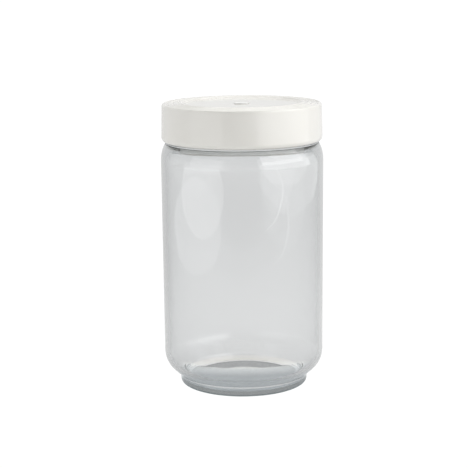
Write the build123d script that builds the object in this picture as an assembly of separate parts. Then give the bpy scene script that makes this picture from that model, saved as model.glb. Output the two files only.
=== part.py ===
from build123d import *
import os
from math import cos, radians, tan

# A clear glass storage jar with a glazed ceramic lid. The lid's skirt drops over the jar's
# neck and its spigot carries a silicone seal. A small silicone plug closes the hole in the
# lid's centre. Millimetres, +Z up, origin at the centre of the foot's contact ring.

# Driving dimensions of the glass
BODY_RADIUS = 57.0            # widest, just under the shoulder
HEEL_RADIUS = 56.45           # the wall tapers down to this above the heel
WALL = 3.2
SHOULDER_HEIGHT = 167.0       # where the wall's line meets the shoulder's slope
LEDGE_RADIUS = 53.5           # end of the shoulder's slope, under the lid's skirt
LEDGE_HEIGHT = 172.6
NECK_RADIUS = 50.8
MOUTH_RADIUS = 47.6
RIM_HEIGHT = 193.6
FOOT_RADIUS = 45.2
FOOT_WALL_TOP = 6.1           # where the foot's wall meets the heel's slope
HEEL_HEIGHT = 16.6            # where the heel's slope meets the wall
WELL_RADIUS = 42.9            # the well inside the foot, where its wall meets the heel
WELL_TOP = 8.3
FLOOR_RADIUS = 41.0           # the well's wall leans in to this at the floor
FLOOR_HEIGHT = 3.4            # inner floor at its edge
FLOOR_RISE = 1.6              # the floor's middle is pushed up by this much
CONTACT_INNER_RADIUS = 38.6   # inner edge of the ring the jar stands on
UNDERSIDE_RISE = 2.2          # the underside's middle stands clear by this much
DOME_RADIUS = 22.0            # where both domes flatten out

# Driving dimensions of the lid
LID_TOP_RADIUS = 55.75
LID_BOTTOM_RADIUS = 56.4
LID_BOTTOM = 173.3
LID_EDGE_HEIGHT = 200.0       # top of the outer roll
SKIRT_INNER_RADIUS = 52.4
SPIGOT_RADIUS = 42.2
SPIGOT_WALL = 3.0
SPIGOT_BOTTOM = 169.4
SEAL_FLANGE = 1.2             # thickness of the seal between the rim and the lid
DISC_HEIGHT = 199.2           # recessed disc in the lid's top
CENTRE_HOLE_RADIUS = 4.25

# Concentric ridges round the recessed disc, innermost first
RIDGE_RADII = (43.0, 46.8, 50.6)
RIDGE_PITCH = 3.8
RIDGE_STEP = 0.27             # each ridge stands this much higher than the one outside it
RIDGE_DEPTH = 0.86            # crest to valley, after rounding
RIDGE_ROUND = 1.2
RIDGE_SLOPE = 40              # degrees, the ridges' sides before rounding

# Driving dimensions of the seal and the plug
SEAL_SLEEVE_RADIUS = 43.7
SEAL_BOTTOM = 168.9
LIP_RADIUS = 47.3             # 0.3 clear of the mouth all round
LIP_HEIGHTS = (177.0, 182.5, 188.0)
LIP_ROOT = 2.0
LIP_TIP = 0.7
LIP_LEAN = 1.3                # the tips sit this much above the roots
PLUG_CLEARANCE = 0.05
PLUG_HEAD_RADIUS = 5.5
PLUG_HEAD_HEIGHT = 0.8
PLUG_HOLLOW_RADIUS = 2.4
PLUG_HOLLOW_DEPTH = 3.0

LID_UNDERSIDE = RIM_HEIGHT + SEAL_FLANGE


def turned(corners):
    """A solid of revolution from (radius, height, rounding) corners of a closed outline."""
    points = [(radius, height) for radius, height, rounding in corners]
    roundings = [rounding for radius, height, rounding in corners]
    outline = FilletPolyline(*points, radius=roundings, close=True)
    return revolve(Plane.XZ * make_face(outline), Axis.Z)


def glass_jar():
    underside = [
        (0, UNDERSIDE_RISE, 0),
        (DOME_RADIUS, UNDERSIDE_RISE - 0.2, 150),
        (CONTACT_INNER_RADIUS, 0, 5),
    ]
    outside = [
        (FOOT_RADIUS, 0, 2.6),
        (FOOT_RADIUS, FOOT_WALL_TOP, 2.5),
        (HEEL_RADIUS, HEEL_HEIGHT, 16.3),
        (BODY_RADIUS, SHOULDER_HEIGHT, 22),
        (LEDGE_RADIUS, LEDGE_HEIGHT, 1.5),
        (NECK_RADIUS, LEDGE_HEIGHT + 0.8, 1.2),
        (NECK_RADIUS, RIM_HEIGHT, 1.3),
    ]
    inside = [
        (MOUTH_RADIUS, RIM_HEIGHT, 1.3),
        (MOUTH_RADIUS, LEDGE_HEIGHT - 1.2, 3),
        (BODY_RADIUS - WALL, SHOULDER_HEIGHT - 1.8, 17),
        (HEEL_RADIUS - WALL, HEEL_HEIGHT + 1.45, 13.1),
        (WELL_RADIUS, WELL_TOP, 2.5),
        (FLOOR_RADIUS, FLOOR_HEIGHT, 1),
        (DOME_RADIUS, FLOOR_HEIGHT + FLOOR_RISE - 0.2, 120),
        (0, FLOOR_HEIGHT + FLOOR_RISE, 0),
    ]
    return turned(underside + outside + inside)


def ridge_corners():
    """Corners of the ridges, from the disc outwards, set past the crests they round to."""
    overshoot = RIDGE_ROUND * (1 / cos(radians(RIDGE_SLOPE)) - 1)
    crests = [
        LID_EDGE_HEIGHT + RIDGE_STEP * count for count in range(len(RIDGE_RADII), 0, -1)
    ]
    foot_run = (crests[0] + overshoot - DISC_HEIGHT) / tan(radians(RIDGE_SLOPE))
    corners = [(RIDGE_RADII[0] - foot_run, DISC_HEIGHT, 0.8)]
    for radius, crest in zip(RIDGE_RADII, crests):
        valley = crest - RIDGE_STEP / 2 - RIDGE_DEPTH
        corners.append((radius, crest + overshoot, RIDGE_ROUND))
        corners.append((radius + RIDGE_PITCH / 2, valley - overshoot, RIDGE_ROUND * 0.8))
    return corners


def lid():
    roll = [
        (LID_TOP_RADIUS - 2.05, LID_EDGE_HEIGHT, 0.6),
        (LID_TOP_RADIUS, LID_EDGE_HEIGHT, 1.8),
    ]
    skirt = [
        (LID_BOTTOM_RADIUS, LID_BOTTOM, 3.3),
        (SKIRT_INNER_RADIUS, LID_BOTTOM, 0.6),
        (SKIRT_INNER_RADIUS, LID_UNDERSIDE, 1.2),
    ]
    spigot = [
        (SPIGOT_RADIUS, LID_UNDERSIDE, 0),
        (SPIGOT_RADIUS, SPIGOT_BOTTOM, 1),
        (SPIGOT_RADIUS - SPIGOT_WALL, SPIGOT_BOTTOM, 1),
        (SPIGOT_RADIUS - SPIGOT_WALL, LID_UNDERSIDE, 2),
    ]
    hole = [
        (CENTRE_HOLE_RADIUS, LID_UNDERSIDE, 0.4),
        (CENTRE_HOLE_RADIUS, DISC_HEIGHT, 0.4),
    ]
    return turned(hole + ridge_corners() + roll + skirt + spigot)


def lid_seal():
    """A sleeve stretched over the spigot, three lips, and a flange that lies on the rim."""
    lips = []
    for height in LIP_HEIGHTS:
        lips += [
            (SEAL_SLEEVE_RADIUS, height - LIP_ROOT / 2, 0.5),
            (LIP_RADIUS, height + LIP_LEAN - LIP_TIP / 2, 0.25),
            (LIP_RADIUS, height + LIP_LEAN + LIP_TIP / 2, 0.25),
            (SEAL_SLEEVE_RADIUS, height + LIP_ROOT / 2, 0.5),
        ]
    sleeve = [(SPIGOT_RADIUS, SEAL_BOTTOM, 0.5), (SEAL_SLEEVE_RADIUS, SEAL_BOTTOM, 0.7)]
    flange = [
        (SEAL_SLEEVE_RADIUS, RIM_HEIGHT, 0.5),
        (NECK_RADIUS - 0.6, RIM_HEIGHT, 0.3),
        (NECK_RADIUS - 0.6, LID_UNDERSIDE, 0.3),
        (SPIGOT_RADIUS, LID_UNDERSIDE, 0),
    ]
    return turned(sleeve + lips + flange)


def centre_plug():
    """A low domed head on a hollow stem that fills the lid's centre hole."""
    stem = CENTRE_HOLE_RADIUS - PLUG_CLEARANCE
    return turned([
        (0, LID_UNDERSIDE + PLUG_HOLLOW_DEPTH, 0),
        (PLUG_HOLLOW_RADIUS, LID_UNDERSIDE + PLUG_HOLLOW_DEPTH, 0.8),
        (PLUG_HOLLOW_RADIUS, LID_UNDERSIDE, 0.4),
        (stem, LID_UNDERSIDE, 0.8),
        (stem, DISC_HEIGHT, 0),
        (PLUG_HEAD_RADIUS, DISC_HEIGHT, 0),
        (PLUG_HEAD_RADIUS, DISC_HEIGHT + PLUG_HEAD_HEIGHT - 0.15, 0.4),
        (3, DISC_HEIGHT + PLUG_HEAD_HEIGHT, 5),
        (0, DISC_HEIGHT + PLUG_HEAD_HEIGHT, 0),
    ])


os.makedirs("parts", exist_ok=True)
for make in (glass_jar, lid, lid_seal, centre_plug):
    export_step(make(), f"parts/{make.__name__}.step")
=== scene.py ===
from math import atan2, cos, pi, radians, sin, tan

import bpy
from mathutils import Matrix, Vector

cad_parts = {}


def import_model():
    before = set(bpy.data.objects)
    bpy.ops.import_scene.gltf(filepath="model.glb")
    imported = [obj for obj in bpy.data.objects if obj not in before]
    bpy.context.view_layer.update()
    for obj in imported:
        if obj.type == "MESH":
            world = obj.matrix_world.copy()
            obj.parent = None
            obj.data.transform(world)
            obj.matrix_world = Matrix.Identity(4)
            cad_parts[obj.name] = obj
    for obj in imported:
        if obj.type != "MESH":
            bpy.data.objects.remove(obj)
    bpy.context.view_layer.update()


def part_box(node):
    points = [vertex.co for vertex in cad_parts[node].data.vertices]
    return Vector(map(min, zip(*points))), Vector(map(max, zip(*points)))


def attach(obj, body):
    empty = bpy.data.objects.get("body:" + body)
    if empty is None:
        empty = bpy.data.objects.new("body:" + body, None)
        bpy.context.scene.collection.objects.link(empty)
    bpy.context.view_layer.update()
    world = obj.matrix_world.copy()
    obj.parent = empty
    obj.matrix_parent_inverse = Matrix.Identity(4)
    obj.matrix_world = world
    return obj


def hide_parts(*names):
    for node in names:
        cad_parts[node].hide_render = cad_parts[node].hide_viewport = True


# A clear glass jar with a glazed ceramic lid, a silicone seal and a silicone plug. Each piece
# is a fine turned mesh that stands for one CAD node. Metres, +Z up, with the outlines that
# are turned in millimetres.

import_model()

MM = 0.001
TURNS = 256                    # steps round each turned mesh
ARC_STEP = radians(7)          # largest turn between two points of a rounding
ON_AXIS = 1e-6                 # a point nearer the axis than this, in millimetres, is on it


# ---------------------------------------------------------------- sizes, most from the frame

def span(node):
    """(radius, lowest, highest) of a round CAD node, in millimetres and inside its box."""
    low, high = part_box(node)
    return min(high.x, high.y) / MM, low.z / MM, high.z / MM


BODY_RADIUS, FOOT, RIM = span("glass_jar")
_, SPIGOT_BOTTOM, _ = span("lid")
FLANGE_RADIUS, SEAL_BOTTOM, LID_UNDERSIDE = span("lid_seal")
PLUG_RADIUS, PLUG_BOTTOM, PLUG_TOP = span("centre_plug")

SPIGOT_RADIUS = 42.2           # the seal is stretched over it
DISC_HEIGHT = 199.2            # recessed disc in the lid's top, which the plug's head lies on


# ---------------------------------------------------------------- turned meshes

def rounded(corners):
    """(point, direction of the outline there) pairs, from (radius, height, rounding) corners."""
    points = []
    count = len(corners)
    for i, (r, z, rounding) in enumerate(corners):
        here = Vector((r, z))
        before = (Vector(corners[i - 1][:2]) - here).normalized()
        after = (Vector(corners[(i + 1) % count][:2]) - here).normalized()
        if rounding == 0:
            points.append((here, -before if r == 0 and after.x == 0 else after))
            continue
        half = before.angle(after) / 2
        reach = rounding / tan(half)
        centre = here + (before + after).normalized() * rounding / sin(half)
        start = here + before * reach - centre
        end = here + after * reach - centre
        turn = atan2(start.x * end.y - start.y * end.x, start.dot(end))
        steps = max(2, round(abs(turn) / ARC_STEP))
        for step in range(steps + 1):
            a = turn * step / steps
            arm = Vector((start.x * cos(a) - start.y * sin(a), start.x * sin(a) + start.y * cos(a)))
            along = Vector((-arm.y, arm.x)).normalized() * (1 if turn > 0 else -1)
            points.append((centre + arm, along))
    return points


def turned(name, corners):
    """A mesh of revolution with exact normals from an outline that runs anticlockwise."""
    outline = rounded(corners)
    verts, normals, rings = [], [], []
    for point, along in outline:
        out = Vector((along.y, -along.x))
        if point.x < ON_AXIS:
            rings.append([len(verts)])
            verts.append((0, 0, point.y * MM))
            normals.append((0, 0, out.y))
            continue
        ring = []
        for step in range(TURNS):
            a = 2 * pi * step / TURNS
            ring.append(len(verts))
            verts.append((point.x * MM * cos(a), point.x * MM * sin(a), point.y * MM))
            normals.append((out.x * cos(a), out.x * sin(a), out.y))
        rings.append(ring)
    faces = []
    for low, high in zip(rings, rings[1:] + rings[:1]):
        if len(low) == 1 and len(high) == 1:
            continue
        for step in range(TURNS):
            after = (step + 1) % TURNS
            corners_of_face = [low[step % len(low)], low[after % len(low)],
                               high[after % len(high)], high[step % len(high)]]
            faces.append(list(dict.fromkeys(corners_of_face)))
    mesh = bpy.data.meshes.new(name)
    mesh.from_pydata(verts, [], faces)
    mesh.validate()
    mesh.shade_smooth()
    mesh.normals_split_custom_set_from_vertices(normals)
    piece = bpy.data.objects.new(name, mesh)
    bpy.context.scene.collection.objects.link(piece)
    return piece


def stand_for(piece, node, body, material):
    """Give a piece its material, and let it ride on a body and stand for a CAD node."""
    piece.data.materials.append(material)
    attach(piece, body)
    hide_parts(node)


# ---------------------------------------------------------------- outlines

def jar_outline():
    wall, neck, mouth = 3.2, 50.8, 47.6
    shoulder_height, ledge, ledge_height = 167.0, 53.5, 172.6
    heel, heel_height = 56.45, 16.6
    foot, foot_height = 45.2, 6.1
    contact, rise, dome = 38.6, 2.2, 22
    well, well_height = 42.9, 8.3
    well_floor, floor_height, floor_rise = 41.0, 3.4, 1.6
    underside = [(0, rise, 0), (dome, rise - 0.2, 150), (contact, FOOT, 5)]
    outside = [
        (foot, FOOT, 2.6), (foot, foot_height, 2.5), (heel, heel_height, 16.3),
        (BODY_RADIUS, shoulder_height, 22), (ledge, ledge_height, 1.5),
        (neck, ledge_height + 0.8, 1.2), (neck, RIM, 1.3),
    ]
    inside = [
        (mouth, RIM, 1.3), (mouth, ledge_height - 1.2, 3),
        (BODY_RADIUS - wall, shoulder_height - 1.8, 17), (heel - wall, heel_height + 1.45, 13.1),
        (well, well_height, 2.5), (well_floor, floor_height, 1),
        (dome, floor_height + floor_rise - 0.2, 120), (0, floor_height + floor_rise, 0),
    ]
    return underside + outside + inside


def ridges(edge):
    """Corners of the ridges, from the disc outwards, set past the crests that they round to."""
    pitch, step, depth, slope, rounding = 3.8, 0.27, 0.86, radians(40), 1.2
    overshoot = rounding * (1 / cos(slope) - 1)
    crests = [(43.0, edge + 3 * step), (46.8, edge + 2 * step), (50.6, edge + step)]
    foot_run = (crests[0][1] + overshoot - DISC_HEIGHT) / tan(slope)
    outline = [(crests[0][0] - foot_run, DISC_HEIGHT, 0.8)]
    for radius, crest in crests:
        valley = crest - step / 2 - depth
        outline.append((radius, crest + overshoot, rounding))
        outline.append((radius + pitch / 2, valley - overshoot, rounding * 0.8))
    return outline


def lid_outline():
    edge, hole = 200.0, 4.25
    top, bottom, bottom_height = 55.75, 56.4, 173.3
    skirt, spigot_bore = 52.4, 39.2
    centre = [(hole, LID_UNDERSIDE, 0.4), (hole, DISC_HEIGHT, 0.4)]
    side = [
        (top - 2.05, edge, 0.6), (top, edge, 1.8), (bottom, bottom_height, 3.3),
        (skirt, bottom_height, 0.6), (skirt, LID_UNDERSIDE, 1.2),
    ]
    spigot = [
        (SPIGOT_RADIUS, LID_UNDERSIDE, 0.2), (SPIGOT_RADIUS, SPIGOT_BOTTOM, 1),
        (spigot_bore, SPIGOT_BOTTOM, 1), (spigot_bore, LID_UNDERSIDE, 2),
    ]
    outline = centre + ridges(edge) + side + spigot
    return outline[::-1]


def seal_outline():
    sleeve, lip, root, tip, lean = 43.7, 47.3, 2.0, 0.7, 1.3
    lips = []
    for height in (177.0, 182.5, 188.0):
        lips += [
            (sleeve, height - root / 2, 0.5), (lip, height + lean - tip / 2, 0.25),
            (lip, height + lean + tip / 2, 0.25), (sleeve, height + root / 2, 0.5),
        ]
    ends = [
        (sleeve, RIM, 0.5), (FLANGE_RADIUS, RIM, 0.3), (FLANGE_RADIUS, LID_UNDERSIDE, 0.3),
        (SPIGOT_RADIUS, LID_UNDERSIDE, 0.2),
    ]
    return [(SPIGOT_RADIUS, SEAL_BOTTOM, 0.5), (sleeve, SEAL_BOTTOM, 0.7)] + lips + ends


def plug_outline():
    stem, hollow, hollow_depth = 4.2, 2.4, 3
    return [
        (0, PLUG_BOTTOM + hollow_depth, 0), (hollow, PLUG_BOTTOM + hollow_depth, 0.8),
        (hollow, PLUG_BOTTOM, 0.4), (stem, PLUG_BOTTOM, 0.8), (stem, DISC_HEIGHT, 0.1),
        (PLUG_RADIUS, DISC_HEIGHT, 0.1), (PLUG_RADIUS, PLUG_TOP - 0.15, 0.4), (3, PLUG_TOP, 5),
        (0, PLUG_TOP, 0),
    ]


# ---------------------------------------------------------------- shader building

MIX_FACTOR, MIX_FIRST, MIX_SECOND, MIX_RESULT = 0, 6, 7, 2    # the Mix node's colour sockets


def grey(value):
    return (value, value, value)


def noise(nodes, links, scale, detail):
    """Noise over the piece's own coordinates."""
    place = nodes.new("ShaderNodeTexCoord")
    texture = nodes.new("ShaderNodeTexNoise")
    texture.inputs["Scale"].default_value = scale
    texture.inputs["Detail"].default_value = detail
    links.new(place.outputs["Object"], texture.inputs["Vector"])
    return texture.outputs["Fac"]


def ramp(nodes, links, value, stops):
    """Colour ramp of (position, colour) stops, fed by value."""
    node = nodes.new("ShaderNodeValToRGB")
    elements = node.color_ramp.elements
    while len(elements) < len(stops):
        elements.new(0.5)
    for element, (position, colour) in zip(elements, stops):
        element.position = position
        element.color = (*colour, 1)
    links.new(value, node.inputs["Fac"])
    return node.outputs["Color"]


def bump(nodes, links, shader, height, strength, distance):
    """Shallow relief on a shader, fed by height."""
    node = nodes.new("ShaderNodeBump")
    node.inputs["Strength"].default_value = strength
    node.inputs["Distance"].default_value = distance
    links.new(height, node.inputs["Height"])
    links.new(node.outputs["Normal"], shader.inputs["Normal"])


def mapped(nodes, links, value, start, end, first=0, last=1, smooth=False):
    """A number that goes from first to last as value goes from start to end, and no further."""
    node = nodes.new("ShaderNodeMapRange")
    node.interpolation_type = "SMOOTHSTEP" if smooth else "LINEAR"
    limits = {"From Min": start, "From Max": end, "To Min": first, "To Max": last}
    for socket, number in limits.items():
        node.inputs[socket].default_value = number
    links.new(value, node.inputs["Value"])
    return node.outputs["Result"]


def mixed(nodes, links, factor, first, second):
    """First where factor is 0, and the plain grey second where it is 1."""
    node = nodes.new("ShaderNodeMix")
    node.data_type = "RGBA"
    links.new(factor, node.inputs[MIX_FACTOR])
    links.new(first, node.inputs[MIX_FIRST])
    node.inputs[MIX_SECOND].default_value = (*grey(second), 1)
    return node.outputs[MIX_RESULT]


def times(nodes, links, first, second):
    """The product of two numbers or colours."""
    node = nodes.new("ShaderNodeMix")
    node.data_type = "RGBA"
    node.blend_type = "MULTIPLY"
    node.inputs[MIX_FACTOR].default_value = 1
    links.new(first, node.inputs[MIX_FIRST])
    links.new(second, node.inputs[MIX_SECOND])
    return node.outputs[MIX_RESULT]


def by_ray(nodes, links, ray, look, other):
    """One shader for a kind of ray that the Light Path node tells apart, another for the rest."""
    path = nodes.new("ShaderNodeLightPath")
    mix = nodes.new("ShaderNodeMixShader")
    links.new(path.outputs[ray], mix.inputs["Fac"])
    links.new(other, mix.inputs[1])
    links.new(look, mix.inputs[2])
    return mix.outputs["Shader"]


# ---------------------------------------------------------------- materials

def new_material(name):
    material = bpy.data.materials.new(name)
    material.use_nodes = True
    nodes = material.node_tree.nodes
    return material, nodes, material.node_tree.links, nodes["Principled BSDF"]


def clear_glass():
    """Clear glass, with a faint cool tint where it is thick."""
    material, nodes, links, shader = new_material("clear_glass")
    shader.inputs["Base Color"].default_value = (1, 1, 1, 1)
    shader.inputs["Transmission Weight"].default_value = 1
    shader.inputs["IOR"].default_value = 1.5
    film = noise(nodes, links, 60, 3)
    links.new(ramp(nodes, links, film, [(0.3, grey(0.0)), (0.8, grey(0.02))]),
              shader.inputs["Roughness"])
    bump(nodes, links, shader, noise(nodes, links, 22, 1), 0.08, 0.004)
    absorb = nodes.new("ShaderNodeVolumeAbsorption")
    absorb.inputs["Color"].default_value = (0.415, 0.487, 0.508, 1)
    absorb.inputs["Density"].default_value = 30
    output = nodes["Material Output"]
    links.new(absorb.outputs["Volume"], output.inputs["Volume"])
    look = shader.outputs["BSDF"]
    # Shadow rays pass, so that light gets into the jar. Reflection rays pass too, because the
    # renderer's limit of bounces would end them in black inside the thick base.
    for ray, passed in (("Is Reflection Ray", 0.8), ("Is Shadow Ray", 0.92)):
        clear = nodes.new("ShaderNodeBsdfTransparent")
        clear.inputs["Color"].default_value = (*grey(passed), 1)
        look = by_ray(nodes, links, ray, clear.outputs["BSDF"], look)
    links.new(look, output.inputs["Surface"])
    return material


def cream_glaze():
    """Cream-white ceramic under a clear gloss coat, faintly clouded."""
    material, nodes, links, shader = new_material("lid_glaze")
    cloud = noise(nodes, links, 35, 4)
    tone = ramp(nodes, links, cloud, [(0.3, (0.855, 0.84, 0.79)), (0.7, (0.88, 0.867, 0.82))])
    links.new(tone, shader.inputs["Base Color"])
    shader.inputs["Roughness"].default_value = 0.35
    shader.inputs["Coat Weight"].default_value = 1
    shader.inputs["Coat Roughness"].default_value = 0.06
    bump(nodes, links, shader, noise(nodes, links, 180, 2), 0.05, 0.0005)
    return material


def silicone(name, colour, roughness):
    """Soft matt silicone, faintly clouded."""
    material, nodes, links, shader = new_material(name)
    cloud = noise(nodes, links, 90, 3)
    shade = tuple(0.93 * c for c in colour)
    links.new(ramp(nodes, links, cloud, [(0.35, shade), (0.65, colour)]),
              shader.inputs["Base Color"])
    rough = [(0.3, grey(roughness - 0.05)), (0.7, grey(roughness + 0.05))]
    links.new(ramp(nodes, links, cloud, rough), shader.inputs["Roughness"])
    bump(nodes, links, shader, noise(nodes, links, 900, 2), 0.1, 0.0002)
    return material


# ---------------------------------------------------------------- floor and backdrop

WHITE = 1.05                   # floor and backdrop straight from the camera
BACKDROP = 0.82                # backdrop, to other rays
ROOM = 0.27                    # dark room on the camera's side, to reflections and matt surfaces
ROOM_COLOUR = 0.02             # the room's floor as a matt surface
TABLE_COLOUR = 0.45            # the table as a matt surface
TABLE_GLOW = 0.38              # the table's own light
TABLE_EDGE = 0.60              # how far the table reaches towards the camera
EDGE_BLUR = 0.05               # the table's edge is this soft, to each side
FLOOR_RADIUS = 12
HORIZON = (-0.2, 0.15)         # Y of the directions between which room turns into backdrop
FAR = (0.3, 1.5)               # where the table starts and ends its change into the backdrop
LEFT_SHADE = 0.92              # brightness at the stage's far left, as a share of the middle's
PAINTED_JAR_SHADE_FADE = (0.044, 0.06)      # where the painted shadow and painted light under the jar start to fade, and have gone
PAINTED_JAR_SHADE_DEPTH = 0.045        # the colours of that painted shadow and painted light run over this depth, both ways


def part_of(nodes, links, place, axis):
    """One of a place's X, Y and Z."""
    split = nodes.new("ShaderNodeSeparateXYZ")
    links.new(place, split.inputs["Vector"])
    return split.outputs[axis]


def reach_of(nodes, links, place):
    """A place's distance from the middle of the jar's foot."""
    length = nodes.new("ShaderNodeVectorMath")
    length.operation = "LENGTH"
    links.new(place, length.inputs[0])
    return length.outputs["Value"]


def unless_through_glass(nodes, links, value, plain):
    """value, or the plain number where the ray has come through glass."""
    path = nodes.new("ShaderNodeLightPath")
    return mixed(nodes, links, path.outputs["Is Transmission Ray"], value, plain)


def side_falloff(nodes, links, place, reach):
    """1 in the middle and on the right, and a little less towards the left."""
    across = mapped(nodes, links, part_of(nodes, links, place, "X"), -reach, reach)
    return ramp(nodes, links, across, [(0, grey(LEFT_SHADE)), (0.46, grey(1)), (1, grey(1))])


def painted_shadow_and_light_under_jar(nodes, links, place):
    """1 on the table, and under the jar a painted bluish shadow in front and a painted bright patch of
    light behind.
    """
    depth = mapped(nodes, links, part_of(nodes, links, place, "Y"), -PAINTED_JAR_SHADE_DEPTH, PAINTED_JAR_SHADE_DEPTH)
    # painted shade: a painted bluish shadow under the jar's near half, and painted light brighter than
    # the table under its far half
    shade = ramp(nodes, links, depth, [
        (0, (0.56, 0.64, 0.68)), (0.4, (0.74, 0.80, 0.85)), (0.6, (1.65, 1.72, 1.75)),
        (0.8, (2.4, 2.35, 2.25)), (1, (1.6, 1.5, 1.35)),
    ])
    outside = mapped(nodes, links, reach_of(nodes, links, place), *PAINTED_JAR_SHADE_FADE)
    return mixed(nodes, links, outside, shade, 1)


def table(nodes, links, where):
    """A pale glowing table that turns into the backdrop far off, with a dark room before it."""
    depth, reach = part_of(nodes, links, where, "Y"), reach_of(nodes, links, where)
    edge = (-TABLE_EDGE - EDGE_BLUR, -TABLE_EDGE + EDGE_BLUR)
    colour = mapped(nodes, links, depth, *edge, ROOM_COLOUR, TABLE_COLOUR, smooth=True)
    colour = unless_through_glass(nodes, links, colour, TABLE_COLOUR)
    colour = times(nodes, links, colour, mapped(nodes, links, reach, *FAR, 1, 0, smooth=True))
    glow = mapped(nodes, links, depth, *edge, ROOM, TABLE_GLOW, smooth=True)
    glow = unless_through_glass(nodes, links, glow, TABLE_GLOW)
    rise = mapped(nodes, links, reach, *FAR, 1, BACKDROP / TABLE_GLOW, smooth=True)
    glow = times(nodes, links, glow, rise)
    glow = times(nodes, links, glow, side_falloff(nodes, links, where, 0.5))
    # the painted shadow and painted light under the jar, multiplied into the table's glow
    glow = times(nodes, links, glow, painted_shadow_and_light_under_jar(nodes, links, where))
    matt, light = nodes.new("ShaderNodeBsdfDiffuse"), nodes.new("ShaderNodeEmission")
    links.new(colour, matt.inputs["Color"])
    links.new(glow, light.inputs["Color"])
    both = nodes.new("ShaderNodeAddShader")
    links.new(matt.outputs["BSDF"], both.inputs[0])
    links.new(light.outputs["Emission"], both.inputs[1])
    return both.outputs["Shader"]


def floor():
    """White straight from the camera, and the table to every other ray."""
    bpy.ops.mesh.primitive_circle_add(vertices=96, radius=FLOOR_RADIUS, fill_type="NGON")
    plane = bpy.context.object
    plane.name = "floor"
    material, nodes, links, plain_shader = new_material("floor")
    nodes.remove(plain_shader)
    white = nodes.new("ShaderNodeEmission")
    white.inputs["Color"].default_value = (*grey(WHITE), 1)
    where = nodes.new("ShaderNodeNewGeometry").outputs["Position"]
    look = by_ray(nodes, links, "Is Camera Ray", white.outputs["Emission"], table(nodes, links, where))
    links.new(look, nodes["Material Output"].inputs["Surface"])
    plane.data.materials.append(material)


def world():
    """White straight from the camera, and to every other ray a pale backdrop and a dark room."""
    studio = bpy.data.worlds.new("studio")
    bpy.context.scene.world = studio
    studio.use_nodes = True
    nodes, links = studio.node_tree.nodes, studio.node_tree.links
    seen, other = nodes["Background"], nodes.new("ShaderNodeBackground")
    seen.inputs["Color"].default_value = (*grey(WHITE), 1)
    direction = nodes.new("ShaderNodeTexCoord").outputs["Generated"]
    depth = part_of(nodes, links, direction, "Y")
    glow = mapped(nodes, links, depth, *HORIZON, ROOM, BACKDROP, smooth=True)
    glow = unless_through_glass(nodes, links, glow, BACKDROP)
    glow = times(nodes, links, glow, side_falloff(nodes, links, direction, 1))
    links.new(glow, other.inputs["Color"])
    looks = seen.outputs["Background"], other.outputs["Background"]
    links.new(by_ray(nodes, links, "Is Camera Ray", *looks), nodes["World Output"].inputs["Surface"])


# ---------------------------------------------------------------- lights and camera

CARDS = 0.60                   # distance of the bent cards from the jar's axis


def around(azimuth, distance, height):
    """A place round the jar: azimuth 0 is towards the camera, and positive is to its right."""
    return (distance * sin(radians(azimuth)), -distance * cos(radians(azimuth)), height)


def area_light(name, place, aim, size, radiance):
    """A rectangular light, seen in reflections but not straight or through glass."""
    data = bpy.data.lights.new(name, "AREA")
    data.shape = "RECTANGLE"
    data.size, data.size_y = size
    data.energy = radiance * pi * size[0] * size[1]
    lamp = bpy.data.objects.new(name, data)
    lamp.location = place
    lamp.rotation_euler = (Vector(aim) - Vector(place)).to_track_quat("-Z", "Y").to_euler()
    lamp.visible_camera = False
    lamp.visible_transmission = False
    bpy.context.scene.collection.objects.link(lamp)
    return lamp


def card(name, rows, radiance, distance=CARDS):
    """A glowing sheet bent round the jar, from rows of (azimuth, height) points, row by row."""
    verts = [around(azimuth, distance, height) for row in rows for azimuth, height in row]
    across = len(rows[0])
    faces = [
        (row * across + i, row * across + i + 1, (row + 1) * across + i + 1, (row + 1) * across + i)
        for row in range(len(rows) - 1) for i in range(across - 1)
    ]
    mesh = bpy.data.meshes.new(name)
    mesh.from_pydata(verts, [], faces)
    sheet = bpy.data.objects.new(name, mesh)
    bpy.context.scene.collection.objects.link(sheet)
    material, nodes, links, plain_shader = new_material(name)
    nodes.remove(plain_shader)
    glow = nodes.new("ShaderNodeEmission")
    glow.inputs["Color"].default_value = (*grey(radiance), 1)
    links.new(glow.outputs["Emission"], nodes["Material Output"].inputs["Surface"])
    mesh.materials.append(material)
    sheet.visible_camera = False
    sheet.visible_transmission = False
    return sheet


def ellipse(centre, size, start, end, steps=24):
    """Points along part of an ellipse of (azimuth, height), from start to end degrees."""
    turns = [radians(start + (end - start) * i / steps) for i in range(steps + 1)]
    return [(centre[0] + size[0] * cos(a), centre[1] + size[1] * sin(a)) for a in turns]


def band(start, end, low, high):
    """Two rows of (azimuth, height) points, 4 degrees apart, for an upright card."""
    return [[(azimuth, height) for azimuth in range(start, end, 4)] for height in (low, high)]


def left_lights():
    """A low round reflector, and a soft card above it."""
    middle = 0.05
    under = ellipse((-58, middle), (33, 0.045), 180, 360)
    over = [(azimuth, 2 * middle - height) for azimuth, height in under]
    card("reflector_left", [under, over], 1.75)
    card("card_left", band(-74, -22, 0.098, 0.4), 1.25)


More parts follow.
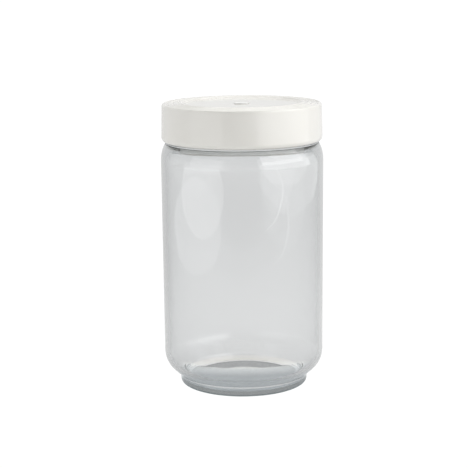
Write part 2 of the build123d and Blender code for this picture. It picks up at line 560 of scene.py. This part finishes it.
def right_lights():
    """A large softbox whose lower edge hangs in a curve, a thin bright rim, and a key light."""
    hang = ellipse((63, 0.096), (42, 0.036), 180, 360)
    card("softbox_right", [hang, [(azimuth, 0.45) for azimuth, _ in hang]], 1.5)
    rim = [ellipse((azimuth, 0.056), (51, 0.049), -60, 52) for azimuth in (4.0, 6.4)]
    card("rim_right", rim, 2.3, 0.58)
    key = card("key_right", band(26, 92, 0.2, 0.5), 3.3, 0.55)
    key.visible_diffuse = False    # only for the bright patches on the shoulder and low on the left
    area_light("high_right", around(70, 0.7, 0.7), (0, 0, 0.05), (0.6, 0.5), 1.6)


def seal_fill():
    """A fill light for the seal, in the dark behind the lid's skirt. Returns what it lights."""
    fill = area_light("seal_fill", around(0, 0.9, 0.05), (0, 0, 0.17), (1.2, 0.3), 5.0)
    lit = bpy.data.collections.new("seal_fill_on")
    fill.light_linking.receiver_collection = lit
    return lit


def camera():
    """A view from in front and a little above the jar, looking slightly down at it."""
    distance, height = 0.996, 0.2972
    yaw, pitch, roll = radians(-0.357), radians(10.832), radians(-0.568)
    forward = Vector((sin(yaw) * cos(pitch), cos(yaw) * cos(pitch), -sin(pitch)))
    right = Vector((cos(yaw), -sin(yaw), 0))
    up = right.cross(forward)
    across = cos(roll) * right + sin(roll) * up
    upward = cos(roll) * up - sin(roll) * right
    data = bpy.data.cameras.new("camera")
    data.sensor_width = 36
    data.lens = 110.03
    eye = bpy.data.objects.new("camera", data)
    turn = Matrix((across, upward, -forward)).transposed().to_4x4()
    eye.matrix_world = Matrix.Translation((0, -distance, height)) @ turn
    bpy.context.scene.collection.objects.link(eye)
    bpy.context.scene.camera = eye


camera()
floor()
world()
area_light("overhead", (0, 0.1, 1.5), (0, 0, 0.1), (1.6, 1.6), 1.1)
left_lights()
right_lights()
lit_by_seal_fill = seal_fill()
bpy.context.scene.view_settings.view_transform = "Standard"

stand_for(turned("jar_glass", jar_outline()), "glass_jar", "jar", clear_glass())
stand_for(turned("lid_ceramic", lid_outline()), "lid", "lid", cream_glaze())
seal_ring = turned("seal_ring", seal_outline())
lit_by_seal_fill.objects.link(seal_ring)
stand_for(seal_ring, "lid_seal", "lid",
          silicone("seal_silicone", (0.90, 0.90, 0.88), 0.5))
stand_for(turned("plug", plug_outline()), "centre_plug", "plug",
          silicone("plug_silicone", (0.88, 0.88, 0.86), 0.35))
